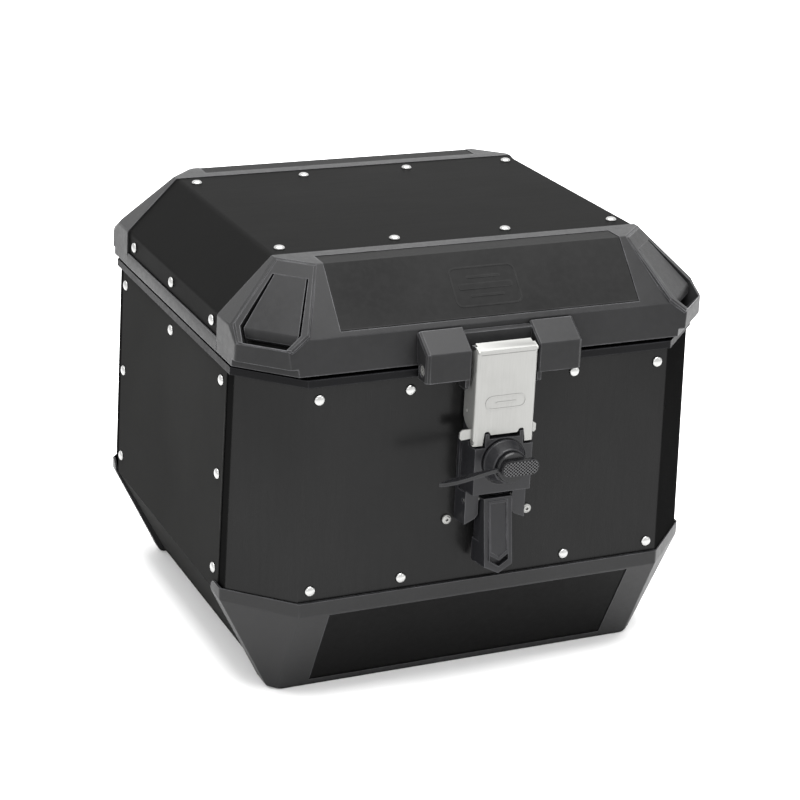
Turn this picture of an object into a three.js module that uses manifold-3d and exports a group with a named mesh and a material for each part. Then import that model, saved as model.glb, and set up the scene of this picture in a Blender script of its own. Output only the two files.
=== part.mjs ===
// Aluminium top case for a motorcycle: riveted sheet body and lid with moulded
// corner caps, a steel latch plate, a key lock and a base release lever.
// Millimetres, +Z up. Origin on the resting plane, at the middle of the body.
// -Y is the latch side, +Y the hinge side, X runs across the case.
import * as THREE from 'three';
import { mergeVertices } from 'three/addons/utils/BufferGeometryUtils.js';
import { ConvexGeometry } from 'three/addons/geometries/ConvexGeometry.js';
import Module from 'manifold-3d';

const wasm = await Module();
wasm.setup();

// ---------------------------------------------------------------- dimensions
const GAP = 0.3;                 // running gap kept between touching pieces
const SHEET = 1.5;               // aluminium sheet thickness
const TAPER = 0.000143;          // body widens downwards by this share per millimetre
const TAPER_Z = 192;             // height where the body has its nominal width
const BODY_HX = 213.2;           // body half width, outside of the side sheets
const BODY_HY = 199.5;           // body half depth, outside of the front sheet
const BODY_CH = 47.7;            // body corner chamfer, plan
const SIDE_EDGE = 139.6;         // front and rear edges of the side sheets
const BEND_Z = 90;               // height where the side sheets turn inwards
const FLOOR_HX = 165.5;          // nominal half width of the floor between its bends
const FLOOR_Z = 2.5;             // underside of the floor sheet
const SHEET_TOP = 287.2;         // top edge of the body sheets
const WRAP_BOTTOM = 92;          // lower edge of the front and rear sheets
const RIM_Z0 = 287.5, RIM_Z1 = 294;
const LID_Z0 = 297;              // lower edge of the lid
const LID_TOP = 374;             // top of the lid caps
const LID_SHEET_TOP = 373.4;
const LID_SHEET_HX = 210.5;
const LID_SHEET_HY = 121.2;      // half length of the lid sheet
const LID_SUM = 538.9;           // x + z on the sloped side of the lid sheet
const GUARD_TOP = 100;
const RIVET_R = 4.6, RIVET_H = 2.4, SHANK_R = 2.1, RIVET_HOLE = 2.6;
const ROW_X = [-155.2, -75.2, 75.2, 155.2];
const FRONT_TOP_Z = 276, FRONT_BOT_Z = 109.5;
const SIDE_Y = 129.8, SIDE_Z = [275, 193.4, 109.3];
const LID_ROW_Y = 103.7, LID_ROW_X = [-153.3, -51.1, 51.1, 153.3];
const LID_SIDE_Z = 318, LID_SIDE_Y = [-104.5, 0, 104.5];
const HINGE_Y = 206.3, HINGE_Z = 295.5, HINGE_X = 105;
const LATCH_PIV_Y = -220.5, LATCH_PIV_Z = 232.2;
const LATCH_HX = 27.3, LATCH_Y = -223.6, LATCH_T = 1.5;
const LOCK_Z = 215;              // height of the lock barrel axis
const LEVER_Y = -212, LEVER_Z = 178;
const SCREW_X = 37.1, SCREW_Z = 157.5;

// ---------------------------------------------------------------- helpers
const S2 = Math.SQRT1_2;
function solid(g) {
  g = g.clone();
  g.deleteAttribute('normal');
  if (g.getAttribute('uv')) g.deleteAttribute('uv');
  g = mergeVertices(g, 1e-4);
  const m = new wasm.Mesh({
    numProp: 3,
    vertProperties: new Float32Array(g.getAttribute('position').array),
    triVerts: new Uint32Array(g.index.array),
  });
  return new wasm.Manifold(m);
}
const basis = (x, y, z) => new THREE.Matrix4().makeBasis(
  new THREE.Vector3(...x), new THREE.Vector3(...y), new THREE.Vector3(...z));
function ccw(pts) {
  let a = 0;
  pts.forEach((p, i) => { const q = pts[(i + 1) % pts.length]; a += p[0] * q[1] - q[0] * p[1]; });
  return a < 0 ? [...pts].reverse() : pts;
}
function extrude(pts, depth, holes = []) {
  const s = new THREE.Shape(ccw(pts).map(p => new THREE.Vector2(p[0], p[1])));
  for (const h of holes) s.holes.push(new THREE.Path([...ccw(h)].reverse().map(p => new THREE.Vector2(p[0], p[1]))));
  return new THREE.ExtrudeGeometry(s, { depth, bevelEnabled: false, curveSegments: 6 });
}
const prismZ = (pts, z0, z1, holes) => solid(extrude(pts, z1 - z0, holes).translate(0, 0, z0));
// outline in (x, z), run along Y
const prismY = (pts, y0, y1, holes) => solid(extrude(pts, y1 - y0, holes)
  .applyMatrix4(basis([1, 0, 0], [0, 0, 1], [0, -1, 0])).translate(0, y1, 0));
// outline in (y, z), run along X
const prismX = (pts, x0, x1, holes) => solid(extrude(pts, x1 - x0, holes)
  .applyMatrix4(basis([0, 1, 0], [0, 0, 1], [1, 0, 0])).translate(x0, 0, 0));
const box = (x0, x1, y0, y1, z0, z1) => solid(
  new THREE.BoxGeometry(x1 - x0, y1 - y0, z1 - z0).translate((x0 + x1) / 2, (y0 + y1) / 2, (z0 + z1) / 2));
const cylY = (r, x, z, y0, y1, n = 12, r2 = r) => solid(
  new THREE.CylinderGeometry(r2, r, y1 - y0, n).translate(x, (y0 + y1) / 2, z));
const cylX = (r, y, z, x0, x1, n = 12) => solid(
  new THREE.CylinderGeometry(r, r, x1 - x0, n).rotateZ(Math.PI / 2).translate((x0 + x1) / 2, y, z));
const cylZ = (r, x, y, z0, z1, n = 12) => solid(
  new THREE.CylinderGeometry(r, r, z1 - z0, n).rotateX(Math.PI / 2).translate(x, y, (z0 + z1) / 2));
const join = (...m) => m.flat().reduce((a, b) => a.add(b));
const cut = (a, ...m) => m.flat().reduce((x, y) => x.subtract(y), a);
const mirrorX = p => p.map(([x, z]) => [-x, z]).reverse();
// chamfered rectangle in plan
const oct = (hx, hy, c) => [[hx, -hy + c], [hx, hy - c], [hx - c, hy], [-hx + c, hy],
  [-hx, hy - c], [-hx, -hy + c], [-hx + c, -hy], [hx - c, -hy]];
// body outline moved inwards by t
const bodyOct = t => oct(BODY_HX - t, BODY_HY - t, BODY_CH - 0.586 * t);
// half space: dir in plan, reach d1 at height z1 and d2 at height z2
function leaning(dx, dy, d1, z1, d2, z2, off = 0) {
  const s = (d2 - d1) / (z2 - z1);
  const L = Math.hypot(1, s);
  return [dx, dy, -s, d1 - s * z1 - off * L];
}
// convex solid from half spaces n.p <= d
function hull(planes) {
  const pts = [];
  const N = planes.length;
  for (let i = 0; i < N; i++) for (let j = i + 1; j < N; j++) for (let k = j + 1; k < N; k++) {
    const A = planes[i], B = planes[j], C = planes[k];
    const m = new THREE.Matrix3().set(A[0], A[1], A[2], B[0], B[1], B[2], C[0], C[1], C[2]);
    if (Math.abs(m.determinant()) < 1e-6) continue;
    const p = new THREE.Vector3(A[3], B[3], C[3]).applyMatrix3(m.invert());
    if (planes.every(q => q[0] * p.x + q[1] * p.y + q[2] * p.z <= q[3] + 1e-5)
      && !pts.some(q => q.distanceTo(p) < 1e-3)) pts.push(p);
  }
  return solid(new ConvexGeometry(pts));
}
const hullPts = pts => solid(new ConvexGeometry(pts.map(p => new THREE.Vector3(...p))));

// widens a solid with the body's taper
function taper(m) {
  const mesh = m.getMesh();
  const v = new Float32Array(mesh.vertProperties);
  for (let i = 0; i < v.length; i += 3) v[i] *= 1 + TAPER * (TAPER_Z - v[i + 2]);
  return new wasm.Manifold(new wasm.Mesh({ numProp: 3, vertProperties: v, triVerts: new Uint32Array(mesh.triVerts) }));
}
const taperedX = (x, z) => x * (1 + TAPER * (TAPER_Z - z));
// half spaces that round the edge between planes a and b with radius r
function rounding(a, b, r, k = 2) {
  const cosT = a[0] * b[0] + a[1] * b[1] + a[2] * b[2];
  const T = Math.acos(Math.max(-1, Math.min(1, cosT)));
  const out = [];
  for (let i = 1; i <= k; i++) {
    const t = i / (k + 1);
    const A = Math.sin((1 - t) * T) / Math.sin(T), B = Math.sin(t * T) / Math.sin(T);
    out.push([A * a[0] + B * b[0], A * a[1] + B * b[1], A * a[2] + B * b[2], A * (a[3] - r) + B * (b[3] - r) + r]);
  }
  return out;
}
const unit = p => { const L = Math.hypot(p[0], p[1], p[2]); return p.map(v => v / L); };

const group = new THREE.Group();
function mat(color, roughness, metalness) {
  return new THREE.MeshStandardMaterial({ color, roughness, metalness, flatShading: true });
}
const ALU_TOP = mat(0x2c2c2c, 0.55, 0.6);
const ALU = mat(0x262626, 0.55, 0.6);
const PLASTIC = mat(0x303033, 0.6, 0.0);
const PANEL = mat(0x1d1d1d, 0.5, 0.2);
const RUBBER = mat(0x101010, 0.85, 0.0);
const STEEL = mat(0xc9c9c8, 0.35, 1.0);
const RIVET = mat(0xd8d8d6, 0.4, 0.9);
const ZINC = mat(0x9a9a98, 0.45, 0.9);
function put(name, m, material) {
  const mesh = m.getMesh();
  const g = new THREE.BufferGeometry();
  g.setAttribute('position', new THREE.BufferAttribute(new Float32Array(mesh.vertProperties), 3));
  g.setIndex(new THREE.BufferAttribute(new Uint32Array(mesh.triVerts), 1));
  g.computeVertexNormals();
  const o = new THREE.Mesh(g, material);
  o.name = name;
  group.add(o);
  return m;
}

// rivet holes and rivets -------------------------------------------------
const holesY = (list, y0, y1, r = RIVET_HOLE) => list.map(([x, z]) => cylY(r, x, z, y0, y1, 10));
const holesX = (list, x0, x1, r = RIVET_HOLE) => list.map(([y, z]) => cylX(r, y, z, x0, x1, 10));
// domed rivet along a direction: head base at `face`, shank running `depth` inwards
function rivet(pos, out, depth) {
  const prof = [[0, -depth], [SHANK_R, -depth], [SHANK_R, 0], [RIVET_R, 0], [RIVET_R * 0.93, 0.75],
    [RIVET_R * 0.66, 1.75], [RIVET_R * 0.3, 2.3], [0, RIVET_H]].map(p => new THREE.Vector2(p[0], p[1]));
  const g = new THREE.LatheGeometry(prof, 10);
  const q = new THREE.Quaternion().setFromUnitVectors(new THREE.Vector3(0, 1, 0), new THREE.Vector3(...out));
  g.applyQuaternion(q).translate(...pos);
  return solid(g);
}

// ---------------------------------------------------------------- body sheets
{
  const o = [[-BODY_HX, SHEET_TOP], [-BODY_HX, BEND_Z], [-FLOOR_HX, FLOOR_Z], [FLOOR_HX, FLOOR_Z],
    [BODY_HX, BEND_Z], [BODY_HX, SHEET_TOP]];
  const i = [[BODY_HX - SHEET, SHEET_TOP], [BODY_HX - SHEET, BEND_Z + 0.4], [FLOOR_HX - 0.7, FLOOR_Z + SHEET],
    [-FLOOR_HX + 0.7, FLOOR_Z + SHEET], [-BODY_HX + SHEET, BEND_Z + 0.4], [-BODY_HX + SHEET, SHEET_TOP]];
  let m = prismY([...o, ...i], -SIDE_EDGE, SIDE_EDGE);
  const side = [];
  for (const y of [-SIDE_Y, SIDE_Y]) for (const z of SIDE_Z) side.push([y, z]);
  side.push([0, SIDE_Z[0]]);
  m = cut(m, holesX(side, -220, -205), holesX(side, 205, 220));
  // window for the base catch and slots for the carrier hooks
  m = cut(m, box(-34, 34, -112, -46, 0, 6), box(-86, -60, 66, 92, 0, 6), box(60, 86, 66, 92, 0, 6));
  put('body_side_sheet', taper(m), ALU);
}
function wrapSheet(s) {
  // chamfered front (s=-1) or rear (s=1) sheet with flanges under the side sheet
  const hx = BODY_HX - SHEET - GAP, hy = BODY_HY, c = hx - 165.2;
  const o = [[-hx, s * 108], [-hx, s * (hy - c)], [-hx + c, s * hy], [hx - c, s * hy], [hx, s * (hy - c)], [hx, s * 108]];
  const t = SHEET, k = 0.586 * t;
  const hxi = hx - t, hyi = hy - t, ci = c - k;
  const i = [[hxi, s * 108], [hxi, s * (hyi - ci)], [hxi - ci, s * hyi], [-hxi + ci, s * hyi], [-hxi, s * (hyi - ci)], [-hxi, s * 108]];
  let m = prismZ([...o, ...i], WRAP_BOTTOM, SHEET_TOP);
  const y0 = Math.min(s * 190, s * 205), y1 = Math.max(s * 190, s * 205);
  const f = [];
  for (const x of ROW_X) f.push([x, FRONT_TOP_Z], [x, FRONT_BOT_Z]);
  m = cut(m, holesY(f, y0, y1));
  const side = SIDE_Z.map(z => [s * SIDE_Y, z]);
  m = cut(m, holesX(side, -218, -205), holesX(side, 205, 218));
  return m;
}
{
  let m = taper(wrapSheet(-1));
  m = cut(m, cylY(10.2, 0, LOCK_Z, -205, -190, 16), holesY([[-SCREW_X, SCREW_Z], [SCREW_X, SCREW_Z]], -205, -190, 2.4));
  put('body_front_sheet', m, ALU);
  put('body_rear_sheet', taper(wrapSheet(1)), ALU);
}

// ---------------------------------------------------------------- lower guards
// outer planes of a guard; s=-1 front, 1 rear
const GUARD_HX = 218.3, GUARD_FOOT_HX = 174;
const GUARD_HY = 202.4, GUARD_FOOT_HY = 157.3;
function guardPlanes(s, o, round) {
  const P = [];
  const front = [0, s, 0, GUARD_HY - o];
  const slope = unit(leaning(0, s, GUARD_HY, 88, GUARD_FOOT_HY, 0, o));
  const foot = [0, 0, -1, 0];
  P.push(front, slope);
  for (const sx of [-1, 1]) {
    const side = [sx, 0, 0, GUARD_HX - o];
    const lean = unit(leaning(sx, 0, GUARD_HX, 90, GUARD_FOOT_HX, 0, o));
    const ch = [sx * S2, s * S2, 0, 261.2 - o];
    const chl = unit(leaning(sx * S2, s * S2, 261.2, 88, 230.2, 0, o));
    P.push(side, lean, ch, chl);
    if (round) P.push(...rounding(ch, front, 5), ...rounding(chl, slope, 5), ...rounding(ch, side, 5), ...rounding(chl, lean, 5),
      ...rounding(ch, chl, 9), ...rounding(side, lean, 9), ...rounding(front, slope, 6, 1), ...rounding(chl, foot, 7), ...rounding(lean, foot, 7));
  }
  return P;
}
function guard(s) {
  const back = s < 0 ? 130 : 141.5;    // where the return on the side sheet ends
  let m = hull([...guardPlanes(s, 0, true), [0, 0, 1, GUARD_TOP], [0, 0, -1, 0], [0, -s, 0, -126]]);
  // hollow: clears the side sheet on the flanks, leaves a 4.2 mm wall elsewhere
  const inner = [];
  const bendX = taperedX(BODY_HX, BEND_Z) + GAP + 0.05, floorX = taperedX(FLOOR_HX, FLOOR_Z) + GAP + 0.1;
  for (const sx of [-1, 1]) {
    inner.push([sx, 0, 0, bendX]);
    inner.push(leaning(sx, 0, bendX, BEND_Z, floorX, FLOOR_Z, 0));
    inner.push([sx * S2, s * S2, 0, 261.2 - 4.2]);
    inner.push(leaning(sx * S2, s * S2, 261.2, 88, 230.2, 0, 4.2));
  }
  inner.push([0, s, 0, GUARD_HY - 4.2], leaning(0, s, GUARD_HY, 88, GUARD_FOOT_HY, 0, 4.2));
  inner.push([0, 0, 1, GUARD_TOP + 20], [0, 0, -1, -2.2], [0, -s, 0, -100]);
  m = cut(m, hull(inner));
  // the upper band clears the front sheet
  m = cut(m, taper(prismZ(bodyOct(-GAP), WRAP_BOTTOM - 0.6, GUARD_TOP + 5)));
  // trim the return on the side sheet and the foot under the floor
  const y0 = Math.min(s * 100, s * back), y1 = Math.max(s * 100, s * back);
  m = cut(m, box(150, 230, y0, y1, -5, 120), box(-230, -150, y0, y1, -5, 120));
  // rounded upper end of the return
  for (const sx of [-1, 1]) {
    const q = [[s * (back - 5), GUARD_TOP + 5], [s * (back - 5), GUARD_TOP - 9]];
    for (let i = 0; i <= 5; i++) { const t = Math.PI / 2 * i / 5; q.push([s * (back + 8 - 8 * Math.cos(t)), GUARD_TOP - 8 + 8 * Math.sin(t)]); }
    q.push([s * (back + 8), GUARD_TOP + 5]);
    m = cut(m, prismX(q, Math.min(sx * 205, sx * 225), Math.max(sx * 205, sx * 225)));
  }
  // bed for the inset panel
  m = cut(m, insetPrism(s, 139.6, 2.4, 6));
  return m;
}
// slab parallel to the sloped face, from depth a below it to height b above it
function insetPrism(s, hx, a, b) {
  const sl = (GUARD_HY - GUARD_FOOT_HY) / 88, L = Math.hypot(1, sl);
  const yAt = (z, off) => GUARD_FOOT_HY + sl * z + off * L;
  const z0 = 6.5, z1 = 86;
  return prismX([[s * yAt(z0, -a), z0], [s * yAt(z1, -a), z1], [s * yAt(z1, b), z1], [s * yAt(z0, b), z0]], -hx, hx);
}
for (const [s, n] of [[-1, 'front'], [1, 'rear']]) {
  put('lower_guard_' + n, guard(s), PLASTIC);
  const sl = (GUARD_HY - GUARD_FOOT_HY) / 88, L = Math.hypot(1, sl);
  const yAt = (z, off) => GUARD_FOOT_HY + sl * z + off * L;
  const z0 = 6.9, z1 = 85.6;
  put('guard_panel_' + n, prismX([[s * yAt(z0, -2.1), z0], [s * yAt(z1, -2.1), z1], [s * yAt(z1, -0.6), z1],
    [s * yAt(z0, -0.6), z0]], -139.2, 139.2), PANEL);
}

// ---------------------------------------------------------------- rim and seal
{
  let m = join(prismZ(bodyOct(-2), RIM_Z0, RIM_Z1, [bodyOct(12)]),
    prismZ(bodyOct(3.6), 262, RIM_Z0 + 0.5, [bodyOct(6.6)]));
  const f = ROW_X.map(x => [x, FRONT_TOP_Z]);
  m = cut(m, holesY(f, -205, -185), holesY(f, 185, 205));
  const side = [[-SIDE_Y, SIDE_Z[0]], [0, SIDE_Z[0]], [SIDE_Y, SIDE_Z[0]]];
  m = cut(m, holesX(side, -220, -200), holesX(side, 200, 220));
  put('rim_frame', taper(m), PLASTIC);
  put('rim_seal', taper(prismZ(bodyOct(3.5), RIM_Z1 + GAP, LID_Z0 - GAP, [bodyOct(9.5)])), RUBBER);
}

// ---------------------------------------------------------------- body rivets
{
  const y = BODY_HY + GAP;
  for (const [s, n] of [[-1, 'front'], [1, 'rear']]) {
    const row = (z, depth) => ROW_X.map(x => rivet([x, s * y, z], [0, s, 0], depth));
    const a = s * (BODY_HY - 7.0), b = s * (BODY_HY - 8.5);
    put(`rivets_${n}_top`, taper(join(row(FRONT_TOP_Z, 8.4), box(-162, 162, Math.min(a, b), Math.max(a, b), 271, 281))), RIVET);
    const c = s * (BODY_HY - 1.9), d = s * (BODY_HY - 3.4);
    put(`rivets_${n}_bottom`, taper(join(row(FRONT_BOT_Z, 3.2), box(-162, 162, Math.min(c, d), Math.max(c, d), FRONT_BOT_Z - 5, FRONT_BOT_Z + 5))), RIVET);
  }
  const x = BODY_HX + GAP;
  for (const [s, n] of [[-1, 'left'], [1, 'right']]) {
    const a = s * (BODY_HX - 6.9), b = s * (BODY_HX - 8.4);
    const strip = (y0, y1, z0, z1) => box(Math.min(a, b), Math.max(a, b), y0, y1, z0, z1);
    for (const [sy, k] of [[-1, 'front'], [1, 'rear']]) {
      const yy = sy * SIDE_Y;
      put(`rivets_${n}_${k}`, taper(join(SIDE_Z.map(z => rivet([s * x, yy, z], [s, 0, 0], 8.2)),
        strip(yy - 6, yy + 6, 102, 282))), RIVET);
    }
    put(`rivet_${n}_centre`, taper(join(rivet([s * x, 0, SIDE_Z[0]], [s, 0, 0], 8.2), strip(-7, 7, 268, 282))), RIVET);
  }
}

// ---------------------------------------------------------------- base
{
  const slots = [box(-34, 34, -112, -46, -1, 6), box(-86, -60, 66, 92, -1, 6), box(60, 86, 66, 92, -1, 6)];
  put('base_plate', cut(prismZ(oct(112, 120, 14), 0, FLOOR_Z - GAP), slots), PLASTIC);
  let m = box(-100, 100, -124, 112, 4.3, 15);
  m = cut(m, box(-27, 27, -121, -44, 3, 12.4), box(-84, -62, 68, 90, 3, 12.4), box(62, 84, 68, 90, 3, 12.4));
  put('base_adapter', m, PLASTIC);
  put('base_catch', join(box(-26, 26, -110, -76, 4.6, 12), prismX([[-76.5, 4.6], [-70, 4.6], [-70, 8], [-76.5, 12]], -26, 26)), ZINC);
  let mat_ = prismZ(oct(160, 130, 20), 4.3, 7.3);
  mat_ = cut(mat_, box(-100.6, 100.6, -124.6, 112.6, 2, 10));
  put('base_mat', mat_, RUBBER);
}

// ---------------------------------------------------------------- lid sheet
// half profile of the lid sheet moved inwards by t: [x, z] from lower edge to the middle
function sheetHalf(t, zlo) {
  const hx = LID_SHEET_HX - t, top = LID_SHEET_TOP - t, sum = LID_SUM - t * Math.SQRT2;
  return [[hx, zlo], [hx, sum - hx], [sum - top, top]];
}
const arch = (t, zlo) => [...sheetHalf(t, zlo), ...mirrorX(sheetHalf(t, zlo))];
const channel = (t0, t1, zlo) => [...arch(t0, zlo), ...arch(t1, zlo).reverse()];
const lidTopHoles = () => { const h = []; for (const x of LID_ROW_X) for (const y of [-LID_ROW_Y, LID_ROW_Y]) h.push(cylZ(RIVET_HOLE, x, y, 360, 380, 10)); return h; };
const lidSideHoles = () => { const l = LID_SIDE_Y.map(y => [y, LID_SIDE_Z]); return [...holesX(l, -220, -200), ...holesX(l, 200, 220)]; };
put('lid_sheet', cut(prismY(channel(0, SHEET, 305.2), -LID_SHEET_HY, LID_SHEET_HY), lidTopHoles(), lidSideHoles()), ALU_TOP);

// ---------------------------------------------------------------- lid caps
const CAP_HX = 212.9, CAP_HX_TOP = 212.3;   // side band of the caps, lower edge and crease
function lidPlanes(o, extra = [], round = false) {
  const top = [0, 0, 1, LID_TOP - o];
  const P = [top, [0, 0, -1, -LID_Z0]];
  const E = {};
  for (const sx of [-1, 1]) {
    E['b' + sx] = unit(leaning(sx, 0, CAP_HX, 297, CAP_HX_TOP, 327, o));
    E['s' + sx] = unit(leaning(sx, 0, CAP_HX_TOP, 328.3, 166.6, 374, o));
    P.push(E['b' + sx], E['s' + sx]);
    if (round) P.push(...rounding(E['b' + sx], E['s' + sx], 5), ...rounding(E['s' + sx], top, 3, 1));
  }
  for (const sy of [-1, 1]) {
    const band = unit(leaning(0, sy, 200.3, 297, 197.1, 326.4, o));
    const slope = unit(leaning(0, sy, 197.1, 326.4, 152.7, 374, o));
    P.push(band, slope);
    if (round) P.push(...rounding(band, slope, 2.5, 1), ...rounding(slope, top, 3, 1));
    for (const sx of [-1, 1]) {
      const v = [sx * S2, sy * S2, 0, 267 - o];
      const f = unit(leaning(sx * S2, sy * S2, 267, 318, 207.2, 374, o));
      P.push(v, f);
      if (round) P.push(...rounding(v, band, 3, 1), ...rounding(v, E['b' + sx], 7), ...rounding(f, E['s' + sx], 2.5, 1),
        ...rounding(f, slope, 2.5, 1), ...rounding(v, f, 3, 1), ...rounding(f, E['b' + sx], 5));
    }
  }
  return [...P, ...extra];
}
// frame on the corner facet: along the facet, up the facet, outwards
const FN = (() => { const s = (207.2 - 267) / (374 - 318), L = Math.hypot(1, s); return [1 / L, -s / L]; })();
function facetMatrix(sx, sy) {
  const n = new THREE.Vector3(sx * S2 * FN[0], sy * S2 * FN[0], FN[1]);
  const up = new THREE.Vector3(-sx * S2 * FN[1], -sy * S2 * FN[1], FN[0]);
  const e = new THREE.Vector3().crossVectors(up, n);
  const m = new THREE.Matrix4().makeBasis(e, up, n);
  // middle of the facet's lower edge
  m.setPosition(sx * (196 - 2 * S2), sy * (181.6 + 2 * S2), 318);
  return m;
}
const facetPrism = (pts, n0, n1, sx, sy) => solid(extrude(pts, n1 - n0).translate(0, 0, n0).applyMatrix4(facetMatrix(sx, sy)));
const POCKET = [[-19, 1.2], [19, 1.2], [26.3, 15.6], [15.6, 66.4], [-15.6, 66.4], [-26.3, 15.6]];
const TONGUE = [[-21.2, 9.2], [21.2, 9.2], [23.6, 15.6], [12.9, 72], [-12.9, 72], [-23.6, 15.6]];
// raised surround of the pocket, its edges chamfered
const RING = [[-24.1, 0.3], [24.1, 0.3], [33.0, 16.7], [17.4, 80.4], [-17.4, 80.4], [-33.0, 16.7]];
function surround(sx, sy) {
  const F = facetMatrix(sx, sy);
  const at = (pts, n) => pts.map(([a, b]) => new THREE.Vector3(a, b, n).applyMatrix4(F).toArray());
  const mid = 36;
  const inner = RING.map(([a, b]) => [a - Math.sign(a) * 1.5, b + (b < mid ? 1.1 : -1.3)]);
  return hullPts([...at(RING, -2), ...at(RING, 0.05), ...at(inner, 1.2)]);
}
// tie-down pocket with a springy tongue that stays attached at its upper end
function pocketCutter(sx, sy) {
  const pocket = facetPrism(POCKET, -15.5, 8, sx, sy);
  const face = facetPrism(TONGUE, -12, 2, sx, sy);
  const F = facetMatrix(sx, sy);
  // side profile of the tongue: distance up the facet, distance outwards
  const prof = [[72, 1.2], [46, 0.15], [16.2, -1.1], [13.6, -1.9], [8, -6.6], [8, -8.6], [14, -5.6], [24, -4.8], [72, -4.2]];
  const bar = solid(extrude(prof, 60).translate(0, 0, -30).applyMatrix4(basis([0, 1, 0], [0, 0, 1], [1, 0, 0])).applyMatrix4(F));
  return pocket.subtract(face.intersect(bar));
}
const LID_PANEL_HX = 134.6;
// profile of a layer lying on the cap's top and front slope, from depth a to depth b
function lidLayer(s, a, b, y0, z0) {
  const k = (374 - 326.4) / (197.1 - 152.7), L = Math.hypot(1, k);
  // slope line: z = 374 - k (y - 152.7), moved inwards by d
  const yTop = d => 152.7 - d * (L - 1) / k;
  const at = (z, d) => 152.7 + (374 - z) / k - d * L / k;
  return [[s * y0, LID_TOP - a], [s * yTop(a), LID_TOP - a], [s * at(z0, a), z0],
    [s * at(z0, b), z0], [s * yTop(b), LID_TOP - b], [s * y0, LID_TOP - b]];
}
function cap(s) {
  const near = d => [0, -s, 0, -d];            // keeps s*y >= d
  let m = hull(lidPlanes(0, [near(LID_SHEET_HY + GAP)], true));
  const y0 = Math.min(s * 94, s * 125), y1 = Math.max(s * 94, s * 125);
  m = join(m, prismY(channel(SHEET + GAP, 4.3, 312), y0, y1));
  // hollow, leaving solid corners that hold the tie-down pockets
  m = cut(m, hull([...lidPlanes(4.6, [near(124.6)]).map(p => p[2] === -1 ? [0, 0, -1, -290] : p),
    [S2, s * S2, 0, 241], [-S2, s * S2, 0, 241], leaning(S2, s * S2, 241, 318, 181, 374), leaning(-S2, s * S2, 241, 318, 181, 374)]));
  const c0 = Math.min(s * 90, s * 126), c1 = Math.max(s * 90, s * 126);
  const a = arch(4.3, 290);
  m = cut(m, prismY(a, c0, c1));
  // bed for the inset panel
  m = cut(m, prismX(lidLayer(s, -6, 2.3, 133.2, 329.6), -LID_PANEL_HX, LID_PANEL_HX));
  for (const sx of [-1, 1]) {
    m = cut(join(m, surround(sx, s)), pocketCutter(sx, s));
    // the lower edge steps up round the corner
    m = cut(m, hull([[0, 0, 1, 303.2], [0, 0, -1, -290], [sx * S2, s * S2, 0, 280], [-sx * S2, -s * S2, 0, -262.6], [sx, 0, 0, 240], [-sx, 0, 0, 0], [0, s, 0, 240], [0, -s, 0, 0]]));
  }
  m = cut(m, lidTopHoles(), lidSideHoles());
  return m;
}
for (const [s, n] of [[-1, 'front'], [1, 'rear']]) {
  put('lid_cap_' + n, cap(s), PLASTIC);
  let panel = prismX(lidLayer(s, 0.5, 2.0, 133.6, 330.0), -LID_PANEL_HX + 0.4, LID_PANEL_HX - 0.4);
  if (s < 0) {
    // plain raised badge: round-cornered frame, centre bar
    const rr = (hx, hy, r, x0 = 0, y0 = 0) => {
      const q = [];
      for (const [cx, cy, t0] of [[hx - r, hy - r, 0], [-hx + r, hy - r, 1], [-hx + r, -hy + r, 2], [hx - r, -hy + r, 3]])
        for (let i = 0; i <= 4; i++) { const t = Math.PI / 2 * (t0 + i / 4); q.push([x0 + cx + r * Math.cos(t), y0 + cy + r * Math.sin(t)]); }
      return q;
    };
    const [p, q] = [[-197.1, 326.4], [-152.7, 374]], L = Math.hypot(q[0] - p[0], q[1] - p[1]);
    const u = [(q[0] - p[0]) / L, (q[1] - p[1]) / L], nn = [-u[1], u[0]];
    // x across, y up the slope, z out of it; origin in the middle of the slope
    const F = new THREE.Matrix4().makeBasis(new THREE.Vector3(1, 0, 0), new THREE.Vector3(0, u[0], u[1]), new THREE.Vector3(0, nn[0], nn[1]))
      .setPosition(0, (p[0] + q[0]) / 2, (p[1] + q[1]) / 2);
    const raise = (pts, holes = []) => solid(extrude(pts, 1.0, holes).translate(0, 0, -1.1).applyMatrix4(F));
    panel = join(panel, raise(rr(30, 18, 6), [rr(28.6, 16.6, 4.8)]), raise(rr(24, 2.6, 1.6)), raise(rr(15, 1.1, 0.9, 0, 8.4)), raise(rr(15, 1.1, 0.9, 0, -8.4)));
  }
  put('lid_panel_' + n, panel, PANEL);
}
for (const [s, n] of [[-1, 'left'], [1, 'right']]) {
  // side rail: outer lip, slot for the sheet and an inner flange for the rivets
  const pts = [[204, 297], [213.2, 297], [213.0, 304.6], [212.0, 308.2], [210.9, 308.2], [210.9, 304.8],
    [208.6, 304.8], [208.6, 326.6], [206.2, 326.6], [206.2, 309], [204, 306]].map(([x, z]) => [s * x, z]);
  let m = prismY(pts, -LID_SHEET_HY + 27.5, LID_SHEET_HY - 27.5);
  // outer lip alone runs on to the caps
  const lip = [[208.9, 297], [213.2, 297], [213.0, 304.6], [212.0, 308.2], [210.9, 308.2], [210.9, 304.8], [208.9, 304.8]].map(([x, z]) => [s * x, z]);
  m = join(m, prismY(lip, -LID_SHEET_HY, LID_SHEET_HY));
  m = cut(m, holesX([[0, LID_SIDE_Z]], Math.min(s * 200, s * 220), Math.max(s * 200, s * 220)));
  put('lid_rail_' + n, m, PLASTIC);
}
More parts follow.
